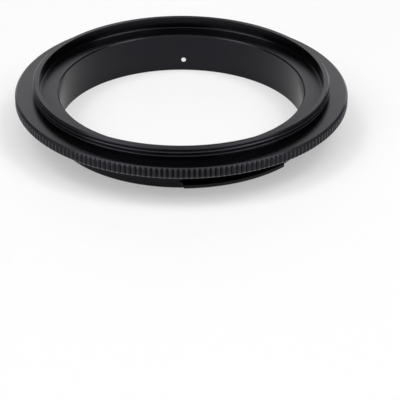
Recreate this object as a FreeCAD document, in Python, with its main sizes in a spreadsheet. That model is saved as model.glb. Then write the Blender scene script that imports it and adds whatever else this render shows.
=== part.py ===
"""Macro reverse ring: a turned black aluminium ring that carries a lens back to front.

From the top down it has a threaded collar that screws into a lens's filter thread, a wide
flange with a fluted rim to grip, and a tube with three bayonet lugs that locks into a
camera body. A steel stop pin stands out of the tube between two lugs.

Frame: millimetres, Z up along the bore, origin at the centre of the tube's end face, on
which the ring rests. The stop pin points along +Y.
"""
import FreeCAD, Part
import math
import os
import Sketcher
from FreeCAD import Placement, Rotation, Vector

# Driving dimensions, in millimetres and degrees. Diameters grow from the thread's: each
# neighbour is placed by the width of the wall or step between them.
SIZES = {
    # Collar, at the outer diameter of its filter thread
    "thread_diameter": 58.0,
    "collar_wall": 1.25,
    "collar_height": 2.3,
    "collar_chamfer": 0.4,
    # Flange and its shelf inside the collar
    "flange_overhang": 3.5,
    "flange_thickness": 2.25,
    "flange_top_bevel": 0.4,
    "flange_bottom_bevel": 0.4,
    "shelf_width": 3.75,
    # Flutes of the grip
    "flute_count": 204,
    "flute_width": 0.7,
    "flute_depth": 0.33,
    # Bayonet tube round the bore
    "tube_wall": 1.5,
    "tube_length": 5.65,
    "tube_end_edge": 0.05,
    "bore_top_edge": 0.2,
    "bore_end_edge": 0.05,
    # Bayonet lugs
    "lug_count": 3,
    "lug_height": 1.45,
    "lug_thickness": 0.8,
    "lug_setback": 0.6,
    "lug_edge": 0.1,
    "lug_span": 45.3,
    "lug_angle": 294.6,
    "lug_cutter_diameter": 3.2,
    # Stop pin, pressed through the tube
    "pin_diameter": 1.0,
    "pin_drop": 3.29,
    "pin_reach": 1.1,
    "pin_edge": 0.1,
    # Recess for the lock pin of a camera body
    "recess_diameter": 4.2,
    "recess_depth": 1.4,
    "recess_offset": 3.6,
    "recess_angle": 354.6,
}

# Radii, levels and positions that follow from the driving dimensions.
DERIVED = {
    "collar_radius": "thread_diameter / 2",
    "collar_inner_radius": "collar_radius - collar_wall",
    "flange_radius": "collar_radius + flange_overhang",
    "bore_radius": "collar_inner_radius - shelf_width",
    "tube_radius": "bore_radius + tube_wall",
    "lug_radius": "tube_radius + lug_height",
    "pin_radius": "pin_diameter / 2",
    "recess_radius": "recess_diameter / 2",
    "recess_distance": "tube_radius + recess_offset",
    "seat_level": "tube_length",
    "flange_level": "seat_level + flange_thickness",
    "collar_level": "flange_level + collar_height",
    "pin_level": "seat_level - pin_drop",
    # Corners of the turned profiles
    "tube_end_corner": "tube_radius - tube_end_edge",
    "collar_top_corner": "collar_radius - collar_chamfer",
    "collar_top_rim": "collar_level - collar_chamfer",
    "bore_end_corner": "bore_radius + bore_end_edge",
    "bore_top_corner": "bore_radius + bore_top_edge",
    "bore_top_rim": "flange_level - bore_top_edge",
    # Flute: a V that reaches as far outside the rim as inside it
    "flute_root": "flange_radius - flute_depth",
    "flute_mouth": "flange_radius + flute_depth",
    # Lug outline: a round cutter leaves its ends concave and bites a little into the tube
    "lug_cutter_radius": "lug_cutter_diameter / 2",
    "lug_root_radius": "tube_radius - tube_wall / 25",
    "lug_core_radius": "tube_radius - tube_wall / 2",
    "cutter_track": "lug_root_radius + lug_cutter_radius",
    "cutter_cosine": "(cutter_track ^ 2 + lug_radius ^ 2 - lug_cutter_radius ^ 2)"
                     " / (2 * cutter_track * lug_radius)",
    "cutter_angle": "lug_span / 2 + acos(cutter_cosine) / 1 deg",
    "cutter_x": "cutter_track * sin(cutter_angle * 1 deg)",
    "cutter_y": "cutter_track * cos(cutter_angle * 1 deg)",
    "lug_root_x": "lug_root_radius * sin(cutter_angle * 1 deg)",
    "lug_core_x": "lug_core_radius * sin(cutter_angle * 1 deg)",
    # Stop pin
    "pin_tip": "tube_radius + pin_reach",
    "pin_tip_corner": "pin_tip - pin_edge",
    "pin_foot_corner": "bore_radius + pin_edge",
    "pin_end_radius": "pin_radius - pin_edge",
}

doc = FreeCAD.newDocument("macro_reverse_ring")
sheet = doc.addObject("Spreadsheet::Sheet", "sizes")
row = 0
for alias, number in SIZES.items():
    row += 1
    sheet.set(f"A{row}", alias)
    sheet.set(f"B{row}", str(number))
    sheet.setAlias(f"B{row}", alias)
for alias, formula in DERIVED.items():
    row += 1
    sheet.set(f"A{row}", alias)
    sheet.set(f"B{row}", f"={formula}")
    sheet.setAlias(f"B{row}", alias)
doc.recompute()


def size(alias):
    """Value of a cell, or 0 for the name "zero"."""
    return 0.0 if alias == "zero" else float(sheet.get(alias))


def origin_feature(body, role):
    return next(item for item in body.Origin.OriginFeatures if item.Role == role)


def new_sketch(body, name, plane):
    sketch = body.newObject("Sketcher::SketchObject", name)
    sketch.AttachmentSupport = [(origin_feature(body, plane), "")]
    sketch.MapMode = "FlatFace"
    return sketch


def bind(sketch, constraint, alias):
    index = sketch.addConstraint(constraint)
    sketch.setExpression(f"Constraints[{index}]", f"sizes.{alias}")


def fix_x(sketch, geometry, end, alias):
    if alias == "zero":
        sketch.addConstraint(Sketcher.Constraint("PointOnObject", geometry, end, -2))
    else:
        bind(sketch, Sketcher.Constraint("DistanceX", -1, 1, geometry, end, size(alias)), alias)


def fix_y(sketch, geometry, end, alias):
    if alias == "zero":
        sketch.addConstraint(Sketcher.Constraint("PointOnObject", geometry, end, -1))
    else:
        bind(sketch, Sketcher.Constraint("DistanceY", -1, 1, geometry, end, size(alias)), alias)


def add_outline(sketch, corners):
    """Closed outline of straight lines; each corner is a pair of aliases for x and y."""
    points = [Vector(size(x), size(y), 0) for x, y in corners]
    lines = [
        sketch.addGeometry(Part.LineSegment(point, points[(index + 1) % len(points)]), False)
        for index, point in enumerate(points)
    ]
    for index, line in enumerate(lines):
        following = lines[(index + 1) % len(lines)]
        sketch.addConstraint(Sketcher.Constraint("Coincident", line, 2, following, 1))
        fix_x(sketch, line, 1, corners[index][0])
        fix_y(sketch, line, 1, corners[index][1])


def join(sketch, *ends):
    """Close a chain of edges: each pair of (edge, end) meets in one point."""
    for (first, first_end), (second, second_end) in ends:
        sketch.addConstraint(
            Sketcher.Constraint("Coincident", first, first_end, second, second_end)
        )


def edges_at_level(shape, level, smallest_radius):
    """Names of the edges that lie at one height, outside a radius."""
    names = []
    for index, edge in enumerate(shape.Edges, start=1):
        ends = [vertex.Point for vertex in edge.Vertexes]
        if all(abs(end.z - level) < 1e-4 and math.hypot(end.x, end.y) > smallest_radius
               for end in ends):
            names.append(f"Edge{index}")
    return names


def circular_edges(shape, radius, level):
    """Names of the edges that lie on one circle round the Z axis."""
    names = []
    for index, edge in enumerate(shape.Edges, start=1):
        if all(abs(math.hypot(point.x, point.y) - radius) < 1e-4 and abs(point.z - level) < 1e-4
               for point in edge.discretize(5)):
            names.append(f"Edge{index}")
    return names


def pattern_round_axis(body, name, feature, count):
    """Repeat a feature evenly round the body's Z axis."""
    pattern = body.newObject("PartDesign::PolarPattern", name)
    pattern.Originals = [feature]
    pattern.Axis = (origin_feature(body, "Z_Axis"), [""])
    pattern.Angle = 360
    pattern.Occurrences = int(size(count))
    pattern.setExpression("Occurrences", f"sizes.{count}")
    body.Tip = pattern
    return pattern


# Flange blank: a prism with one flat per flute, bevelled top and bottom.
ring = doc.addObject("PartDesign::Body", "reverse_ring")
ring.Label = "reverse_ring"
flange = ring.newObject("PartDesign::AdditivePrism", "flange_blank")
flange.AttachmentSupport = [(origin_feature(ring, "XY_Plane"), "")]
flange.MapMode = "FlatFace"
flange.AttachmentOffset = Placement(Vector(0, 0, size("seat_level")), Rotation())
flange.setExpression("AttachmentOffset.Base.z", "sizes.seat_level")
flange.Polygon = int(size("flute_count"))
flange.setExpression("Polygon", "sizes.flute_count")
flange.Circumradius = size("flange_radius")
flange.setExpression("Circumradius", "sizes.flange_radius")
flange.Height = size("flange_thickness")
flange.setExpression("Height", "sizes.flange_thickness")
doc.recompute()
top_bevel = ring.newObject("PartDesign::Chamfer", "flange_top_bevel")
top_bevel.Base = (flange, edges_at_level(flange.Shape, size("flange_level"), 0))
top_bevel.Size = size("flange_top_bevel")
top_bevel.setExpression("Size", "sizes.flange_top_bevel")
doc.recompute()
bottom_bevel = ring.newObject("PartDesign::Chamfer", "flange_bottom_bevel")
bottom_bevel.Base = (top_bevel, edges_at_level(top_bevel.Shape, size("seat_level"), 0))
bottom_bevel.Size = size("flange_bottom_bevel")
bottom_bevel.setExpression("Size", "sizes.flange_bottom_bevel")
doc.recompute()

# Flutes of the grip: straight V grooves that run out in the two bevels of the rim. The first
# lies on the sketch's horizontal axis, at a corner of the prism.
flute_sketch = new_sketch(ring, "flute_outline", "XY_Plane")
root = Vector(size("flute_root"), 0, 0)
mouth_upper = Vector(size("flute_mouth"), size("flute_width"), 0)
mouth_lower = Vector(size("flute_mouth"), -size("flute_width"), 0)
flank_lower = flute_sketch.addGeometry(Part.LineSegment(root, mouth_lower), False)
mouth = flute_sketch.addGeometry(Part.LineSegment(mouth_lower, mouth_upper), False)
flank_upper = flute_sketch.addGeometry(Part.LineSegment(mouth_upper, root), False)
join(
    flute_sketch,
    ((flank_lower, 2), (mouth, 1)),
    ((mouth, 2), (flank_upper, 1)),
    ((flank_upper, 2), (flank_lower, 1)),
)
fix_y(flute_sketch, flank_upper, 2, "zero")
fix_x(flute_sketch, flank_upper, 2, "flute_root")
fix_x(flute_sketch, mouth, 2, "flute_mouth")
fix_y(flute_sketch, mouth, 2, "flute_width")
flute_sketch.addConstraint(Sketcher.Constraint("Symmetric", mouth, 1, mouth, 2, -1))
flute = ring.newObject("PartDesign::Pocket", "flute")
flute.Profile = flute_sketch
flute.Type = "ThroughAll"
flute.Reversed = True
doc.recompute()
flutes = pattern_round_axis(ring, "flutes", flute, "flute_count")
doc.recompute()

# Outside of the collar and the tube, turned as one profile down to the axis.
outside_sketch = new_sketch(ring, "outside_profile", "XZ_Plane")
add_outline(outside_sketch, [
    ("zero", "zero"),
    ("tube_end_corner", "zero"),
    ("tube_radius", "tube_end_edge"),
    ("tube_radius", "flange_level"),
    ("collar_radius", "flange_level"),
    ("collar_radius", "collar_top_rim"),
    ("collar_top_corner", "collar_level"),
    ("zero", "collar_level"),
])
outside = ring.newObject("PartDesign::Revolution", "collar_and_tube")
outside.Profile = outside_sketch
outside.ReferenceAxis = (outside_sketch, ["V_Axis"])
outside.Angle = 360
doc.recompute()

# Inside: the bore with its broken edges, and the shelf inside the collar.
inside_sketch = new_sketch(ring, "inside_profile", "XZ_Plane")
add_outline(inside_sketch, [
    ("zero", "zero"),
    ("bore_end_corner", "zero"),
    ("bore_radius", "bore_end_edge"),
    ("bore_radius", "bore_top_rim"),
    ("bore_top_corner", "flange_level"),
    ("collar_inner_radius", "flange_level"),
    ("collar_inner_radius", "collar_level"),
    ("zero", "collar_level"),
])
inside = ring.newObject("PartDesign::Groove", "bore_and_shelf")
inside.Profile = inside_sketch
inside.ReferenceAxis = (inside_sketch, ["V_Axis"])
inside.Angle = 360
doc.recompute()

# One bayonet lug, drawn on the sketch's vertical axis and turned to its place.
lug_sketch = new_sketch(ring, "lug_outline", "XY_Plane")
lug_sketch.AttachmentOffset = Placement(
    Vector(0, 0, size("lug_setback")), Rotation(Vector(0, 0, 1), 30)
)
lug_sketch.setExpression("AttachmentOffset.Base.z", "sizes.lug_setback")
lug_sketch.setExpression("AttachmentOffset.Rotation.Angle", "(sizes.lug_angle - 90) * 1 deg")
half_span = math.radians(size("lug_span") / 2)
cutter_angle = math.radians(size("cutter_angle"))
upward = math.pi / 2
centre = Vector(0, 0, 0)
normal = Vector(0, 0, 1)


def polar(radius, angle):
    """Point at an angle clockwise from the sketch's vertical axis."""
    return Vector(radius * math.sin(angle), radius * math.cos(angle), 0)


def arc_through(middle, radius, first, last):
    """Anticlockwise arc about a point, from one point to another."""
    start = math.atan2(first.y - middle.y, first.x - middle.x)
    end = math.atan2(last.y - middle.y, last.x - middle.x)
    if end < start:
        end += 2 * math.pi
    return Part.ArcOfCircle(Part.Circle(middle, normal, radius), start, end)


tip_right = polar(size("lug_radius"), half_span)
tip_left = polar(size("lug_radius"), -half_span)
root_right = polar(size("lug_root_radius"), cutter_angle)
root_left = polar(size("lug_root_radius"), -cutter_angle)
core_right = polar(size("lug_core_radius"), cutter_angle)
core_left = polar(size("lug_core_radius"), -cutter_angle)
cutter_right = polar(size("cutter_track"), cutter_angle)
cutter_left = polar(size("cutter_track"), -cutter_angle)

crest = lug_sketch.addGeometry(
    arc_through(centre, size("lug_radius"), tip_right, tip_left), False)
core = lug_sketch.addGeometry(
    arc_through(centre, size("lug_core_radius"), core_right, core_left), False)
end_right = lug_sketch.addGeometry(
    arc_through(cutter_right, size("lug_cutter_radius"), tip_right, root_right), False)
end_left = lug_sketch.addGeometry(
    arc_through(cutter_left, size("lug_cutter_radius"), root_left, tip_left), False)
side_right = lug_sketch.addGeometry(Part.LineSegment(root_right, core_right), False)
side_left = lug_sketch.addGeometry(Part.LineSegment(core_left, root_left), False)
lug_sketch.addConstraint(Sketcher.Constraint("Coincident", crest, 3, -1, 1))
lug_sketch.addConstraint(Sketcher.Constraint("Coincident", core, 3, -1, 1))
join(
    lug_sketch,
    ((crest, 1), (end_right, 1)),
    ((end_right, 2), (side_right, 1)),
    ((side_right, 2), (core, 1)),
    ((core, 2), (side_left, 1)),
    ((side_left, 2), (end_left, 1)),
    ((end_left, 2), (crest, 2)),
)
bind(lug_sketch, Sketcher.Constraint("Radius", crest, size("lug_radius")), "lug_radius")
bind(lug_sketch, Sketcher.Constraint("Radius", core, size("lug_core_radius")), "lug_core_radius")
bind(lug_sketch, Sketcher.Constraint("Radius", end_right, size("lug_cutter_radius")),
     "lug_cutter_radius")
lug_sketch.addConstraint(Sketcher.Constraint("Equal", end_right, end_left))
fix_x(lug_sketch, end_right, 3, "cutter_x")
fix_y(lug_sketch, end_right, 3, "cutter_y")
lug_sketch.addConstraint(Sketcher.Constraint("Symmetric", end_right, 3, end_left, 3, -2))
fix_x(lug_sketch, end_right, 2, "lug_root_x")
fix_x(lug_sketch, side_right, 2, "lug_core_x")
lug_sketch.addConstraint(Sketcher.Constraint("Horizontal", end_right, 2, end_left, 1))
lug_sketch.addConstraint(Sketcher.Constraint("Horizontal", side_right, 2, side_left, 1))

lug = ring.newObject("PartDesign::Pad", "lug")
lug.Profile = lug_sketch
lug.Length = size("lug_thickness")
lug.setExpression("Length", "sizes.lug_thickness")
doc.recompute()
lugs = pattern_round_axis(ring, "lugs", lug, "lug_count")
doc.recompute()

# Broken edges along the crest of every lug.
lug_bottom = size("lug_setback")
lug_top = lug_bottom + size("lug_thickness")
lug_edges = ring.newObject("PartDesign::Chamfer", "lug_edges")
lug_edges.Base = (lugs, circular_edges(lugs.Shape, size("lug_radius"), lug_bottom)
                  + circular_edges(lugs.Shape, size("lug_radius"), lug_top))
lug_edges.Size = size("lug_edge")
lug_edges.setExpression("Size", "sizes.lug_edge")
ring.Tip = lug_edges
doc.recompute()

# Radial hole that holds the stop pin.
pin_hole_sketch = new_sketch(ring, "pin_hole_outline", "XZ_Plane")
hole_circle = pin_hole_sketch.addGeometry(
    Part.Circle(Vector(0, size("pin_level"), 0), normal, size("pin_radius")), False)
pin_hole_sketch.addConstraint(Sketcher.Constraint("PointOnObject", hole_circle, 3, -2))
fix_y(pin_hole_sketch, hole_circle, 3, "pin_level")
bind(pin_hole_sketch, Sketcher.Constraint("Radius", hole_circle, size("pin_radius")), "pin_radius")
pin_hole = ring.newObject("PartDesign::Pocket", "pin_hole")
pin_hole.Profile = pin_hole_sketch
pin_hole.Type = "ThroughAll"
ring.Tip = pin_hole
doc.recompute()

# Blind recess in the flange's seat for a camera body's lock pin.
recess_sketch = new_sketch(ring, "lock_recess_outline", "XY_Plane")
recess_sketch.AttachmentOffset = Placement(
    Vector(0, 0, size("seat_level")), Rotation(Vector(0, 0, 1), 30)
)
recess_sketch.setExpression("AttachmentOffset.Base.z", "sizes.seat_level")
recess_sketch.setExpression("AttachmentOffset.Rotation.Angle", "sizes.recess_angle * 1 deg")
recess_circle = recess_sketch.addGeometry(
    Part.Circle(Vector(size("recess_distance"), 0, 0), normal, size("recess_radius")), False)
recess_sketch.addConstraint(Sketcher.Constraint("PointOnObject", recess_circle, 3, -1))
fix_x(recess_sketch, recess_circle, 3, "recess_distance")
bind(recess_sketch, Sketcher.Constraint("Radius", recess_circle, size("recess_radius")),
     "recess_radius")
recess = ring.newObject("PartDesign::Pocket", "lock_recess")
recess.Profile = recess_sketch
recess.Reversed = True
recess.Length = size("recess_depth")
recess.setExpression("Length", "sizes.recess_depth")
ring.Tip = recess
doc.recompute()

# Stop pin: its inner end is flush with the bore, its outer end stops the ring's turn.
pin = doc.addObject("PartDesign::Body", "stop_pin")
pin.Label = "stop_pin"
pin_profile = new_sketch(pin, "pin_profile", "YZ_Plane")
pin_profile.AttachmentOffset = Placement(Vector(0, size("pin_level"), 0), Rotation())
pin_profile.setExpression("AttachmentOffset.Base.y", "sizes.pin_level")
add_outline(pin_profile, [
    ("bore_radius", "zero"),
    ("pin_tip", "zero"),
    ("pin_tip", "pin_end_radius"),
    ("pin_tip_corner", "pin_radius"),
    ("pin_foot_corner", "pin_radius"),
    ("bore_radius", "pin_end_radius"),
])
pin_solid = pin.newObject("PartDesign::Revolution", "pin")
pin_solid.Profile = pin_profile
pin_solid.ReferenceAxis = (pin_profile, ["H_Axis"])
pin_solid.Angle = 360
doc.recompute()

# Every feature must have built, and each body must be one valid solid.
for item in doc.Objects:
    if "Invalid" in item.State or "Error" in item.State:
        raise RuntimeError(f"{item.Name} did not build: {item.State}")
removed = [
    ("flute", bottom_bevel, flute),
    ("flutes", flute, flutes),
    ("bore_and_shelf", outside, inside),
    ("pin_hole", lug_edges, pin_hole),
    ("lock_recess", pin_hole, recess),
]
for name, before, after in removed:
    if not before.Shape.Volume - after.Shape.Volume > 1e-4:
        raise RuntimeError(f"{name} removed nothing")

os.makedirs("parts", exist_ok=True)
for body in (ring, pin):
    shape = body.Shape
    if shape.isNull() or not shape.isValid() or len(shape.Solids) != 1:
        raise RuntimeError(f"{body.Label} is not one valid solid")
    shape.exportStep(f"parts/{body.Label}.step")
    box = shape.BoundBox
    print(body.Label, "volume", round(shape.Volume, 3), "faces", len(shape.Faces),
          "box", [round(v, 4) for v in (box.XMin, box.YMin, box.ZMin, box.XMax, box.YMax, box.ZMax)])
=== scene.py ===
"""Macro reverse ring, dressed and lit.

The turned body, the fluted grip, the bayonet lugs and the stop pin are worked out here as
numpy grids at the sizes of the solids, with the filter thread cut on the collar. Lengths
are written in millimetres and put into the meshes in metres. The ring's axis is Z, it
stands on Z = 0, and the pin points along +Y.
"""
import math

import bpy
import numpy as np
from mathutils import Matrix


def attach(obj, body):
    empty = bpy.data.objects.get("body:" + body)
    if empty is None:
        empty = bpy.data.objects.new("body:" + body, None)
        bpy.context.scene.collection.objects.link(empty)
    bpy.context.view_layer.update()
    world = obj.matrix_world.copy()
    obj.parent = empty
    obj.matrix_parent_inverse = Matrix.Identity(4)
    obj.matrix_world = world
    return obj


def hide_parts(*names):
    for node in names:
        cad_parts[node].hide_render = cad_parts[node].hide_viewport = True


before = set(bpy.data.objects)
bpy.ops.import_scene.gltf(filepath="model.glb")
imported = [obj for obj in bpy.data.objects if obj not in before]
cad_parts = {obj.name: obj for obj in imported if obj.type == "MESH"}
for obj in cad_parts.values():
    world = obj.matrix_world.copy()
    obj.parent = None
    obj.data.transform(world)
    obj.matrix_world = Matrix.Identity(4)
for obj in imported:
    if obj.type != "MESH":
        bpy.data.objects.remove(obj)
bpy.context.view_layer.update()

MM = 0.001
TURN = 2 * math.pi
# How near to a rim a vertex counts as on it, and how far a cutter reaches past the metal,
# in millimetres.
CLOSE = 0.002
OVERRUN = 1.0

# Sizes of the ring, in millimetres. FLANGE_R is a hair inside the solid's 32.5, so that
# the dressed ring stays within the solid's box.
THREAD_R = 29.0
COLLAR_INNER_R = 27.75
COLLAR_CHAMFER = 0.4
COLLAR_INNER_EDGE = 0.03
COLLAR_TOP = 10.2
FLANGE_R = 32.494
FLANGE_TOP = 7.9
SEAT = 5.65
TOP_BEVEL = 0.4
BOTTOM_BEVEL = 0.4
SHELF_FILLET = 0.3
BORE_R = 24.0
BORE_TOP_EDGE = 0.2
BORE_END_EDGE = 0.05
TUBE_R = 25.5
TUBE_END_EDGE = 0.05
FLUTES = 204
FLUTE_WIDTH = 0.7
FLUTE_DEPTH = 0.33
FLUTE_SHOULDER = 0.022
FLUTE_ROOT_FLAT = 0.012
FLUTE_ROOT_ROUND = 0.035
FLUTE_ROOT_FILL = 0.020
LUG_R = 26.95
LUG_BOTTOM = 0.6
LUG_TOP = 1.4
LUG_EDGE = 0.1
LUG_SPAN = 45.3
LUG_ANGLES = (294.6, 54.6, 174.6)
LUG_CUTTER_R = 1.6
LUG_BITE = 0.06
PIN_R = 0.5
PIN_LEVEL = 2.36
PIN_TIP = 26.6
PIN_EDGE = 0.1
PIN_FOOT_EDGE = 0.05
PIN_CENTRE_R = 0.2
RECESS_R = 2.1
RECESS_DEPTH = 1.4
RECESS_EDGE = 0.15
RECESS_OFFSET = 29.1
RECESS_ANGLE = math.radians(354.6)
RECESS_X = RECESS_OFFSET * math.cos(RECESS_ANGLE)
RECESS_Y = RECESS_OFFSET * math.sin(RECESS_ANGLE)
# Filter thread: right-handed, with the standard flats on its crests and in its roots. At
# CREST_TURN, in turns from +X, a crest stands CREST_ABOVE_FLANGE above the flange.
PITCH = 0.75
THREAD_DEPTH = 0.406
CREST_ABOVE_FLANGE = -0.12
CREST_TURN = 0.75
RELIEF_HEIGHT = 0.15
# How finely the forms are divided.
BODY_COLUMNS = 720
WALL_ROWS = 78
CREST_POINTS = 90
CUTTER_POINTS = 14
PIN_COLUMNS = 64
RECESS_COLUMNS = 96


# Meshes

def add_mesh(name, points, faces, sharp=None):
    """Object from an (n, 3) array of points in mm and a list of face arrays.

    sharp takes the (m, 2) array of edge ends and says which edges stay hard.
    """
    mesh = bpy.data.meshes.new(name)
    mesh.from_pydata((points * MM).tolist(), [], [face for part in faces for face in part.tolist()])
    mesh.update()
    mesh.polygons.foreach_set("use_smooth", np.ones(len(mesh.polygons), bool))
    if sharp is not None:
        ends = np.zeros(len(mesh.edges) * 2, np.int32)
        mesh.edges.foreach_get("vertices", ends)
        mesh.edges.foreach_set("use_edge_sharp", sharp(ends.reshape(-1, 2)))
    mesh.validate()
    piece = bpy.data.objects.new(name, mesh)
    bpy.context.scene.collection.objects.link(piece)
    return piece


def ring_faces(rows, columns, closed_rows):
    """Quads of a grid whose columns close round the axis; rows close too if asked."""
    last = rows if closed_rows else rows - 1
    i, j = np.meshgrid(np.arange(last), np.arange(columns), indexing="ij")
    below = (i + 1) % rows
    right = (j + 1) % columns
    quads = np.stack([i * columns + j, i * columns + right, below * columns + right,
                      below * columns + j], axis=-1)
    return quads.reshape(-1, 4)


def outward(points, faces):
    """The faces, turned round if the closed surface's signed volume is negative.

    The volume is the sum over the faces' triangles of a . (b x c) / 6.
    """
    volume = 0.0
    for face in faces:
        a = points[face[:, 0]]
        for k in range(1, face.shape[1] - 1):
            b = points[face[:, k]]
            c = points[face[:, k + 1]]
            volume += np.einsum("ij,ij->i", a, np.cross(b, c)).sum() / 6
    return [face[:, ::-1] if volume < 0 else face for face in faces]


def lathe(name, radius, height, angle, hard_rows):
    """Closed ring: point (i, j) is at radius[i, j], height[i, j] and angle[j].

    Rows run round the section, which closes on itself. hard_rows names the rows whose
    edges stay sharp.
    """
    rows, columns = radius.shape
    points = np.stack([radius * np.cos(angle), radius * np.sin(angle), height], axis=-1)
    points = points.reshape(-1, 3)
    faces = outward(points, [ring_faces(rows, columns, True)])
    hard = np.zeros(rows, bool)
    hard[list(hard_rows)] = True

    def sharp(ends):
        row = ends // columns
        return (row[:, 0] == row[:, 1]) & hard[row[:, 0]]

    return add_mesh(name, points, faces, sharp)


def thread_radius(height, angle):
    """Radius of the thread's surface at a height and an angle.

    The helix rises one pitch in a turn. x is the distance to the nearest crest in pitches:
    the surface is at the crest for x below 1/16, falls straight to the root at x = 3/8 and
    stays there up to 1/2.
    """
    phase = (height - FLANGE_TOP - CREST_ABOVE_FLANGE) / PITCH - (angle / TURN - CREST_TURN)
    x = np.abs(phase - np.round(phase))
    return THREAD_R - THREAD_DEPTH * np.clip((x - 1 / 16) / (5 / 16), 0, 1)


def make_turned_body():
    """Section of the ring without its rim and lugs, swept round the axis.

    The section runs up the tube, out along the seat, back along the flange's face, up the
    threaded wall, over the land and down through the bore. On the threaded wall the radius
    is the smallest of the thread's, the chamfer's and that of the relief at the wall's
    foot, which is as deep as the thread and widens from its top at 45 degrees.
    """
    columns = BODY_COLUMNS
    angle = np.arange(columns) * TURN / columns
    wall_height = np.linspace(FLANGE_TOP, COLLAR_TOP, WALL_ROWS)
    bend = np.linspace(0, math.pi / 2, 6)
    section = [
        (TUBE_R - TUBE_END_EDGE, 0.0),
        (TUBE_R, TUBE_END_EDGE),
        (TUBE_R, SEAT),
        (FLANGE_R - BOTTOM_BEVEL, SEAT),
        (FLANGE_R - TOP_BEVEL, FLANGE_TOP),
    ]
    first_wall = len(section)
    section += [(THREAD_R, z) for z in wall_height]
    last_wall = len(section) - 1
    section += [
        (COLLAR_INNER_R + COLLAR_INNER_EDGE, COLLAR_TOP),
        (COLLAR_INNER_R, COLLAR_TOP - COLLAR_INNER_EDGE),
    ]
    section += [
        (COLLAR_INNER_R - SHELF_FILLET * (1 - math.cos(b)),
         FLANGE_TOP + SHELF_FILLET * (1 - math.sin(b)))
        for b in bend
    ]
    first_bore = len(section)
    section += [
        (BORE_R + BORE_TOP_EDGE, FLANGE_TOP),
        (BORE_R, FLANGE_TOP - BORE_TOP_EDGE),
        (BORE_R, BORE_END_EDGE),
        (BORE_R + BORE_END_EDGE, 0.0),
    ]
    section = np.array(section)
    radius = np.repeat(section[:, :1], columns, axis=1)
    height = np.repeat(section[:, 1:], columns, axis=1)
    wall = slice(first_wall, last_wall + 1)
    chamfer = THREAD_R + np.minimum(0, COLLAR_TOP - COLLAR_CHAMFER - height[wall])
    relief = THREAD_R - THREAD_DEPTH + np.maximum(0, height[wall] - FLANGE_TOP - RELIEF_HEIGHT)
    radius[wall] = np.minimum(thread_radius(height[wall], angle[None, :]), np.minimum(chamfer, relief))
    hard = [0, 1, 2, 3, 4, first_wall, last_wall, last_wall + 1, last_wall + 2]
    hard += [first_bore, first_bore + 1, first_bore + 2, first_bore + 3]
    return lathe("turned_body", radius, height, angle, hard)


def make_grip():
    """Fluted rim: rib lands on the flange's circle with a V groove between each pair.

    Across a groove the radius falls straight to its root and back; the root is slightly
    filled and its shoulders are broken over 0.044 mm. Each bevel starts from the surface
    of the groove, so the grooves run out in the bevels.
    """
    half = FLUTE_WIDTH / 2
    side = np.array([FLUTE_ROOT_FLAT, FLUTE_ROOT_ROUND, half / 2, half - FLUTE_SHOULDER,
                     half + FLUTE_SHOULDER])
    offset = np.concatenate([-side[::-1], side])
    pitch_angle = TURN / FLUTES
    angle = (np.arange(FLUTES)[:, None] * pitch_angle + offset[None, :] / FLANGE_R).ravel()
    depth = FLUTE_DEPTH * np.clip(1 - np.abs(offset) / half, 0, 1)
    depth[4:6] = FLUTE_DEPTH * (1 - FLUTE_ROOT_FILL / half)
    outer = FLANGE_R - np.tile(depth, FLUTES)
    columns = len(angle)
    inner_low = np.full(columns, FLANGE_R - BOTTOM_BEVEL)
    inner_high = np.full(columns, FLANGE_R - TOP_BEVEL)
    low = SEAT + (outer - inner_low)
    high = FLANGE_TOP - (outer - inner_high)
    middle = (low + high) / 2
    radius = np.stack([inner_low, outer, outer, outer, inner_high])
    height = np.stack([np.full(columns, SEAT), low, middle, high, np.full(columns, FLANGE_TOP)])
    return lathe("fluted_grip", radius, height, angle, [0, 1, 3, 4])


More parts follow.
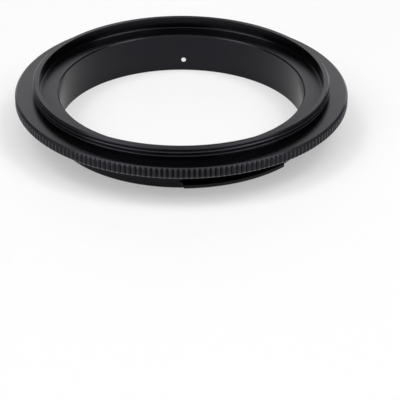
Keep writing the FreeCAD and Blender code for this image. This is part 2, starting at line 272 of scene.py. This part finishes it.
def make_lug(name, centre):
    """One bayonet lug: its section swept over its span, closed at both ends.

    The crest is an arc on the lugs' circle. At each end the outline follows the round
    cutter's circle, which bites LUG_BITE into the tube. The foot lies inside the tube's
    wall, half way through it.
    """
    core = (BORE_R + TUBE_R) / 2
    root = TUBE_R - LUG_BITE
    track = root + LUG_CUTTER_R
    turn = math.acos((track ** 2 + LUG_R ** 2 - LUG_CUTTER_R ** 2) / (2 * track * LUG_R))
    half = math.radians(LUG_SPAN / 2)
    cutter = half + turn
    # The cutter's circle, from its point nearest to the ring's axis out to the crest.
    tip_x = LUG_R * math.cos(turn) - track
    tip_y = LUG_R * math.sin(turn)
    sweep = np.linspace(math.pi, math.atan2(tip_y, tip_x), CUTTER_POINTS)
    along = track + LUG_CUTTER_R * np.cos(sweep)
    across = LUG_CUTTER_R * np.sin(sweep)
    end_radius = np.hypot(along, across)
    end_angle = cutter - np.arctan2(across, along)
    crest_angle = np.linspace(-half, half, CREST_POINTS)[1:-1]
    angle = np.concatenate([-end_angle, crest_angle, end_angle[::-1]])
    outer = np.concatenate([end_radius, np.full(len(crest_angle), LUG_R), end_radius[::-1]])
    angle = angle + math.radians(centre)
    edge = np.minimum(LUG_EDGE, (outer - root) / 2)
    columns = len(angle)
    radius = np.stack([np.full(columns, core), outer - edge, outer, outer, outer - edge,
                       np.full(columns, core)])
    height = np.stack([np.full(columns, LUG_BOTTOM), np.full(columns, LUG_BOTTOM),
                       LUG_BOTTOM + edge, LUG_TOP - edge, np.full(columns, LUG_TOP),
                       np.full(columns, LUG_TOP)])
    rows = len(radius)
    points = np.stack([radius * np.cos(angle), radius * np.sin(angle), height], axis=-1)
    points = points.reshape(-1, 3)
    i, j = np.meshgrid(np.arange(rows), np.arange(columns - 1), indexing="ij")
    below = (i + 1) % rows
    sides = np.stack([i * columns + j, i * columns + j + 1, below * columns + j + 1,
                      below * columns + j], axis=-1).reshape(-1, 4)
    first_end = (np.arange(rows) * columns)[None, :]
    last_end = (np.arange(rows)[::-1] * columns + columns - 1)[None, :]
    faces = outward(points, [sides, first_end, last_end])

    def sharp(ends):
        row = ends // columns
        column = ends % columns
        tips = np.isin(column, [CUTTER_POINTS - 1, columns - CUTTER_POINTS]).all(axis=1)
        caps = np.isin(column, [0, columns - 1]).all(axis=1)
        return (row[:, 0] == row[:, 1]) | tips | caps

    return add_mesh(name, points, faces, sharp)


def revolved_solid(name, radius, along, columns, place):
    """Closed solid of revolution: rings of the given radii between two poles.

    place turns arrays of (distance along the axis, two cross coordinates) into points.
    """
    turn = np.arange(columns) * TURN / columns
    a = np.repeat(np.asarray(along)[:, None], columns, axis=1)
    u = np.asarray(radius)[:, None] * np.cos(turn)
    v = np.asarray(radius)[:, None] * np.sin(turn)
    poles = place(np.array([along[0], along[-1]]), np.zeros(2), np.zeros(2))
    points = np.concatenate([place(a, u, v).reshape(-1, 3), poles])
    rows = len(radius)
    ring = np.arange(columns)
    after = (ring + 1) % columns
    first_pole = rows * columns
    cap_first = np.stack([np.full(columns, first_pole), after, ring], axis=-1)
    base = (rows - 1) * columns
    cap_last = np.stack([np.full(columns, first_pole + 1), base + ring, base + after], axis=-1)
    faces = outward(points, [ring_faces(rows, columns, False), cap_first, cap_last])
    return add_mesh(name, points, faces)


def cut(piece, cutter):
    """Take the cutter's volume out of the piece and delete the cutter."""
    bpy.context.view_layer.update()
    step = piece.modifiers.new("cut", "BOOLEAN")
    step.operation = "DIFFERENCE"
    step.solver = "EXACT"
    step.object = cutter
    bpy.context.view_layer.objects.active = piece
    with bpy.context.temp_override(object=piece, active_object=piece, selected_objects=[piece]):
        bpy.ops.object.modifier_apply(modifier=step.name)
    bpy.data.objects.remove(cutter)


def harden(piece, rim):
    """Make the rims of a hole hard: edges with both ends on the same rim.

    rim takes the x, y and z of the vertices in mm and gives each the number of its rim,
    or 0.
    """
    mesh = piece.data
    points = np.zeros(len(mesh.vertices) * 3, np.float32)
    mesh.vertices.foreach_get("co", points)
    numbers = rim(*(points.reshape(-1, 3) / MM).T)
    ends = np.zeros(len(mesh.edges) * 2, np.int32)
    mesh.edges.foreach_get("vertices", ends)
    first, second = numbers[ends.reshape(-1, 2)].T
    hard = np.zeros(len(mesh.edges), bool)
    mesh.edges.foreach_get("use_edge_sharp", hard)
    mesh.edges.foreach_set("use_edge_sharp", hard | ((first == second) & (first > 0)))


def along_y(a, u, v):
    """Places for a solid of revolution on the pin's own axis."""
    return np.stack([u, a, PIN_LEVEL + v], axis=-1)


def up_from_seat(a, u, v):
    """Places for a solid of revolution on the axis of the blind recess."""
    return np.stack([RECESS_X + u, RECESS_Y + v, a], axis=-1)


def make_pin():
    """Turned steel pin along Y, flat at both ends, with a quarter round at each rim."""
    bend = np.linspace(0, math.pi / 2, 5)
    foot = [(PIN_R - PIN_FOOT_EDGE * (1 - math.sin(b)),
             BORE_R + PIN_FOOT_EDGE * (1 - math.cos(b))) for b in bend]
    tip = [(PIN_R - PIN_EDGE * (1 - math.cos(b)),
            PIN_TIP - PIN_EDGE * (1 - math.sin(b))) for b in bend]
    profile = np.array([(PIN_CENTRE_R, BORE_R)] + foot + tip + [(PIN_CENTRE_R, PIN_TIP)])
    return revolved_solid("turned_pin", profile[:, 0], profile[:, 1], PIN_COLUMNS, along_y)


# Materials

class Maths:
    """A node output that adds Math nodes when it is used in an expression."""

    def __init__(self, tree, socket):
        self.tree = tree
        self.socket = socket

    def math(self, operation, *values):
        step = self.tree.nodes.new("ShaderNodeMath")
        step.operation = operation
        for index, value in enumerate((self, *values)):
            if isinstance(value, Maths):
                self.tree.links.new(value.socket, step.inputs[index])
            else:
                step.inputs[index].default_value = value
        return Maths(self.tree, step.outputs[0])

    def __add__(self, other):
        return self.math("ADD", other)

    __radd__ = __add__

    def __mul__(self, other):
        return self.math("MULTIPLY", other)

    __rmul__ = __mul__

    def __sub__(self, other):
        return self.math("SUBTRACT", other)

    def __rsub__(self, other):
        return (self * -1) + other

    def __pow__(self, other):
        return self.math("POWER", other)


class Material:
    """A node material with one Principled shader."""

    def __init__(self, name, **constants):
        self.material = bpy.data.materials.new(name)
        self.material.use_nodes = True
        self.tree = self.material.node_tree
        self.tree.nodes.clear()
        self.shader = self.tree.nodes.new("ShaderNodeBsdfPrincipled")
        output = self.tree.nodes.new("ShaderNodeOutputMaterial")
        self.tree.links.new(self.shader.outputs[0], output.inputs["Surface"])
        for socket, value in constants.items():
            self.shader.inputs[socket.replace("_", " ")].default_value = value

    def node(self, kind, output=0, settings=None, **inputs):
        """Any node: its settings first, then values or links for its named sockets."""
        made = self.tree.nodes.new(kind)
        for setting, value in (settings or {}).items():
            setattr(made, setting, value)
        for socket, value in inputs.items():
            target = made.inputs[socket.replace("_", " ")]
            if isinstance(value, Maths):
                self.tree.links.new(value.socket, target)
            else:
                target.default_value = value
        return Maths(self.tree, made.outputs[output])

    def place(self):
        """Object coordinates in millimetres, and the distance from the bore's axis."""
        coordinates = self.node("ShaderNodeTexCoord", "Object")
        millimetres = self.node("ShaderNodeVectorMath", settings={"operation": "SCALE"},
                                Vector=coordinates, Scale=1000.0)
        split = self.tree.nodes.new("ShaderNodeSeparateXYZ")
        self.tree.links.new(millimetres.socket, split.inputs[0])
        x, y, z = (Maths(self.tree, output) for output in split.outputs)
        radius = (x * x + y * y) ** 0.5
        return millimetres, x, y, z, radius

    def above(self, value, level, blend):
        """0 below the level, 1 above level + blend, straight between them."""
        return self.node("ShaderNodeMapRange", 0, Value=value, From_Min=level, From_Max=level + blend)

    def feed(self, socket, value):
        self.tree.links.new(value.socket, self.shader.inputs[socket])


def blend_colour(material, factor, first, second):
    """The first colour where factor is 0, the second where it is 1."""
    mixed = material.tree.nodes.new("ShaderNodeMix")
    mixed.data_type = "RGBA"
    mixed.inputs[6].default_value = (*first, 1)
    mixed.inputs[7].default_value = (*second, 1)
    material.tree.links.new(factor.socket, mixed.inputs[0])
    return Maths(material.tree, mixed.outputs[2])


def add_colours(material, first, second):
    total = material.tree.nodes.new("ShaderNodeVectorMath")
    total.operation = "ADD"
    for index, colour in enumerate((first, second)):
        material.tree.links.new(colour.socket, total.inputs[index])
    return Maths(material.tree, total.outputs[0])


FILM_DARK = (0.0008, 0.0008, 0.0011)
FILM_LIGHT = (0.0018, 0.0018, 0.0022)
# Pale colour painted on crests, chamfer, bevel and rib lands as painted highlight, with the blend of
# its masks and how deep it reaches down the thread's crests.
PAINTED_HIGHLIGHT_COLOUR = (0.030, 0.030, 0.034)
HIGHLIGHT_BLEND = 0.05
CREST_HIGHLIGHT_DEPTH = 0.36
FILM_IOR = 1.35
FILM_ROUGHNESS = 0.24
MICRON = 0.001 * MM
STEEL_DARK = (0.86, 0.85, 0.82)
STEEL_LIGHT = (0.92, 0.91, 0.89)


def painted_collar_highlight(finish, z, radius):
    """Painted highlight on the crests of the collar's thread, paler towards their tops, and a little on
    its chamfer.

    On the chamfer radius + height is greatest. Only what stands above the flange counts.
    """
    collar = finish.above(z, FLANGE_TOP + 0.1, HIGHLIGHT_BLEND)
    chamfer = finish.above(radius + z, THREAD_R + COLLAR_TOP - COLLAR_CHAMFER - 0.1, HIGHLIGHT_BLEND)
    below_chamfer = finish.above(z * -1, COLLAR_CHAMFER - COLLAR_TOP, HIGHLIGHT_BLEND)
    crests = finish.above(radius, THREAD_R - CREST_HIGHLIGHT_DEPTH, CREST_HIGHLIGHT_DEPTH) * below_chamfer
    return collar * (chamfer * 0.3 + crests * 0.6)


def painted_grip_highlight(finish, z, radius):
    """Painted highlight on the rim's top bevel, where radius + height is greatest, and on the lands of
    its ribs.
    """
    bevel = finish.above(radius + z, FLANGE_R + FLANGE_TOP - TOP_BEVEL - 0.05, 0.03)
    lands = finish.above(radius, FLANGE_R - 0.03, 0.02)
    return bevel * 0.5 + lands * 0.35


def painted_lug_highlight(finish, z, radius):
    """Painted highlight on the crest of a lug, which slides in the camera's socket."""
    return finish.above(radius, LUG_R - 0.12, 0.1) * 0.2


def black_anodised(name, mark_depth, anisotropy, highlight_mask):
    """Aluminium under a black anodised film.

    Fine feed marks, mark_depth microns deep, follow the distance from the axis on flat
    faces and the height on round ones; a faint grain of the etched metal lies over them.
    Where the last argument gives more than 0, the base colour is paler: a painted highlight on crests
    and edges.
    """
    finish = Material(name, IOR=FILM_IOR, Specular_Tint=(0.85, 0.85, 1.0, 1.0),
                      Anisotropic=anisotropy, Anisotropic_Rotation=0.25)
    millimetres, x, y, z, radius = finish.place()
    grain = finish.node("ShaderNodeTexNoise", 0, Vector=millimetres, Scale=9.0, Detail=3.0,
                        Roughness=0.6)
    cloud = finish.node("ShaderNodeTexNoise", 0, Vector=millimetres, Scale=0.22, Detail=2.0)
    travel = radius + z * 1.31
    marks = finish.node("ShaderNodeTexNoise", 0, settings={"noise_dimensions": "1D"},
                        W=travel, Scale=14.0, Detail=2.0, Roughness=0.7)
    film = blend_colour(finish, cloud * 0.7 + grain * 0.3, FILM_DARK, FILM_LIGHT)
    # Painted highlight: the base colour is lifted towards the pale colour where the mask is above 0.
    highlight = highlight_mask(finish, z, radius) * (grain * 0.8 + 0.6)
    highlight_colour = blend_colour(finish, highlight, (0, 0, 0), PAINTED_HIGHLIGHT_COLOUR)
    finish.feed("Base Color", add_colours(finish, film, highlight_colour))
    finish.feed("Roughness", (marks - 0.5) * 0.10 + (grain - 0.5) * 0.06 + FILM_ROUGHNESS)
    bump = finish.node("ShaderNodeBump", 0, Strength=1.0, Distance=MICRON * mark_depth,
                       Height=marks + grain * 0.5)
    finish.feed("Normal", bump)
    return finish.material


def bright_steel(name):
    """Turned and polished steel with faint rings round the pin's own axis."""
    finish = Material(name, Metallic=1.0, IOR=2.6)
    millimetres, x, y, z, radius = finish.place()
    from_axis = (x * x + (z - PIN_LEVEL) * (z - PIN_LEVEL)) ** 0.5
    rings = finish.node("ShaderNodeTexNoise", 0, settings={"noise_dimensions": "1D"},
                        W=from_axis + y * 1.7, Scale=24.0, Detail=2.0)
    cloud = finish.node("ShaderNodeTexNoise", 0, Vector=millimetres, Scale=3.0, Detail=2.0)
    finish.feed("Base Color", blend_colour(finish, cloud, STEEL_DARK, STEEL_LIGHT))
    finish.feed("Roughness", rings * 0.12 + 0.16)
    bump = finish.node("ShaderNodeBump", 0, Strength=1.0, Distance=MICRON * 0.6, Height=rings)
    finish.feed("Normal", bump)
    return finish.material


# The ring

turned_black = black_anodised("turned_black_anodised", 1.0, 0.6, painted_collar_highlight)
fluted_black = black_anodised("fluted_black_anodised", 0.8, 0.0, painted_grip_highlight)
milled_black = black_anodised("milled_black_anodised", 0.8, 0.0, painted_lug_highlight)
steel = bright_steel("bright_steel")


def pin_hole_rims(x, y, z):
    """1 on the hole's rim in the bore, 2 on its rim outside the tube."""
    on_hole = np.abs(np.hypot(x, z - PIN_LEVEL) - PIN_R) < CLOSE
    radius = np.hypot(x, y)
    return on_hole * ((np.abs(radius - BORE_R) < 5 * CLOSE) + 2 * (np.abs(radius - TUBE_R) < 5 * CLOSE))


def recess_rims(x, y, z):
    """1 at the mouth of the recess, 2 under its broken edge, 3 round its floor."""
    radius = np.hypot(x - RECESS_X, y - RECESS_Y)
    mouth = (np.abs(radius - RECESS_R - RECESS_EDGE) < CLOSE) & (np.abs(z - SEAT) < CLOSE)
    wall = np.abs(radius - RECESS_R) < CLOSE
    return mouth + wall * (2 * (np.abs(z - SEAT - RECESS_EDGE) < CLOSE)
                           + 3 * (np.abs(z - SEAT - RECESS_DEPTH) < CLOSE))


def make_drilled_body():
    """The turned body with its pin hole and the blind recess cut out.

    Each cutter starts outside the metal: the drill OVERRUN beyond both walls, and the
    countersunk end mill on the line of its 45 degree edge, half of that below the seat.
    """
    drilled = make_turned_body()
    cut(drilled, revolved_solid("pin_hole_cutter", [PIN_R, PIN_R],
                                [BORE_R - OVERRUN, TUBE_R + OVERRUN], PIN_COLUMNS, along_y))
    harden(drilled, pin_hole_rims)
    below = OVERRUN / 2
    cut(drilled, revolved_solid("recess_cutter", [RECESS_R + RECESS_EDGE + below, RECESS_R, RECESS_R],
                                [SEAT - below, SEAT + RECESS_EDGE, SEAT + RECESS_DEPTH],
                                RECESS_COLUMNS, up_from_seat))
    harden(drilled, recess_rims)
    return drilled


body = make_drilled_body()
grip = make_grip()
lugs = [make_lug(f"bayonet_lug_{index}", centre) for index, centre in enumerate(LUG_ANGLES, start=1)]
pin = make_pin()

finished = [(body, turned_black, "black_anodised"), (grip, fluted_black, "black_anodised"),
            *((lug, milled_black, "black_anodised") for lug in lugs), (pin, steel, "steel")]
for piece, material, slot in finished:
    piece.data.materials.clear()
    piece.data.materials.append(material)
    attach(piece, "root")
for piece in (body, grip, *lugs):
    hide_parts("reverse_ring")
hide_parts("stop_pin")


# Studio

FLOOR_WHITE = 0.95
FLOOR_GLOW = 0.4
FLOOR_HALF_SIDE = 6000.0
WORLD_STRENGTH = 0.045


def make_floor():
    """Large pale table top that takes the ring's shadow.

    What the camera, gloss and glass see of it is partly its own even glow, so that the
    shadow stays light and no lamp has to be turned up for it.
    """
    corners = [(-1, -1, 0), (1, -1, 0), (1, 1, 0), (-1, 1, 0)]
    points = np.array(corners, float) * FLOOR_HALF_SIDE
    floor = add_mesh("floor", points, [np.array([[0, 1, 2, 3]])])
    paper = Material("pale_table", Roughness=0.9)
    millimetres = paper.place()[0]
    speckle = paper.node("ShaderNodeTexNoise", 0, Vector=millimetres, Scale=0.5, Detail=3.0)
    paper.feed("Base Color", blend_colour(paper, speckle, (0.93, 0.93, 0.93), (0.95, 0.95, 0.95)))
    paper.shader.inputs["Specular IOR Level"].default_value = 0.1
    rays = paper.tree.nodes.new("ShaderNodeLightPath")
    camera, glossy, transmission = (Maths(paper.tree, rays.outputs[f"Is {kind} Ray"])
                                    for kind in ("Camera", "Glossy", "Transmission"))
    glow = paper.node("ShaderNodeEmission", 0, Color=(1, 1, 1, 1), Strength=FLOOR_WHITE)
    mix = paper.node("ShaderNodeMixShader", 0, Fac=(camera + glossy + transmission) * FLOOR_GLOW)
    paper.tree.links.new(paper.shader.outputs[0], mix.socket.node.inputs[1])
    paper.tree.links.new(glow.socket, mix.socket.node.inputs[2])
    output = paper.tree.nodes["Material Output"]
    paper.tree.links.new(mix.socket, output.inputs["Surface"])
    floor.data.materials.append(paper.material)


def add_softbox(name, azimuth, elevation, distance, width, height, radiance):
    """Rectangular lamp, facing the ring, with the given radiance over its face.

    Its energy is radiance x pi x area.
    """
    lamp = bpy.data.lights.new(name, "AREA")
    lamp.shape = "RECTANGLE"
    lamp.size = width
    lamp.size_y = height
    lamp.energy = radiance * math.pi * width * height
    holder = bpy.data.objects.new(name, lamp)
    a, e = math.radians(azimuth), math.radians(elevation)
    holder.location = (distance * math.cos(e) * math.cos(a), distance * math.cos(e) * math.sin(a),
                       distance * math.sin(e))
    holder.rotation_euler = (math.pi / 2 - e, 0, a + math.pi / 2)
    bpy.context.scene.collection.objects.link(holder)


make_floor()
add_softbox("overhead_softbox", 90, 88, 1.2, 0.8, 0.8, 1.3)
add_softbox("left_softbox", 214, 46, 1.2, 1.0, 0.66, 2.3)
add_softbox("left_high_softbox", 178, 64, 1.2, 0.5, 0.34, 4.8)
add_softbox("right_softbox", 326, 46, 1.2, 1.0, 0.66, 2.2)
add_softbox("right_high_softbox", 2, 64, 1.2, 0.5, 0.34, 5.0)
add_softbox("front_high_softbox", 270, 63, 1.2, 0.55, 0.36, 1.3)
add_softbox("back_left_panel", 104, 23, 1.6, 0.6, 0.78, 1.4)
add_softbox("back_right_panel", 77, 23, 1.6, 0.6, 0.78, 1.5)
add_softbox("left_low_panel", 225, 8, 1.6, 1.3, 0.4, 2.4)
add_softbox("right_low_panel", 320, 8, 1.6, 1.3, 0.4, 1.5)
add_softbox("far_left_strip", 132, 5, 1.6, 0.9, 0.25, 0.75)
add_softbox("far_right_strip", 62, 5, 1.6, 0.6, 0.25, 2.0)

world = bpy.data.worlds.new("studio")
bpy.context.scene.world = world
world.use_nodes = True
world.node_tree.nodes["Background"].inputs["Color"].default_value = (1, 1, 1, 1)
world.node_tree.nodes["Background"].inputs["Strength"].default_value = WORLD_STRENGTH


# Camera, at the photograph's viewpoint

def make_camera():
    """Camera in front of the ring, looking down at 30 degrees, hardly swung or rolled.

    Its right, top and backward directions are the columns of its matrix.
    """
    pitch, roll, swing = math.radians(30.005), math.radians(0.2433), math.radians(0.48)
    right = np.array([math.cos(swing), math.sin(swing), 0.0])
    level = np.array([-math.sin(swing), math.cos(swing), 0.0])
    upright = np.array([0.0, 0.0, 1.0])
    forward = math.cos(pitch) * level - math.sin(pitch) * upright
    up = math.sin(pitch) * level + math.cos(pitch) * upright
    side = math.cos(roll) * right + math.sin(roll) * up
    top = -math.sin(roll) * right + math.cos(roll) * up
    data = bpy.data.cameras.new("camera")
    data.sensor_width = 36.0
    data.lens = 183.6
    data.clip_start = 0.01
    data.clip_end = 50.0
    camera = bpy.data.objects.new("camera", data)
    bpy.context.scene.collection.objects.link(camera)
    place = (6.710, -356.536, 188.566)
    camera.matrix_world = Matrix([
        [side[k], top[k], -forward[k], place[k] * MM] for k in range(3)
    ] + [[0, 0, 0, 1]])
    bpy.context.scene.camera = camera


make_camera()
bpy.context.scene.view_settings.view_transform = "Standard"
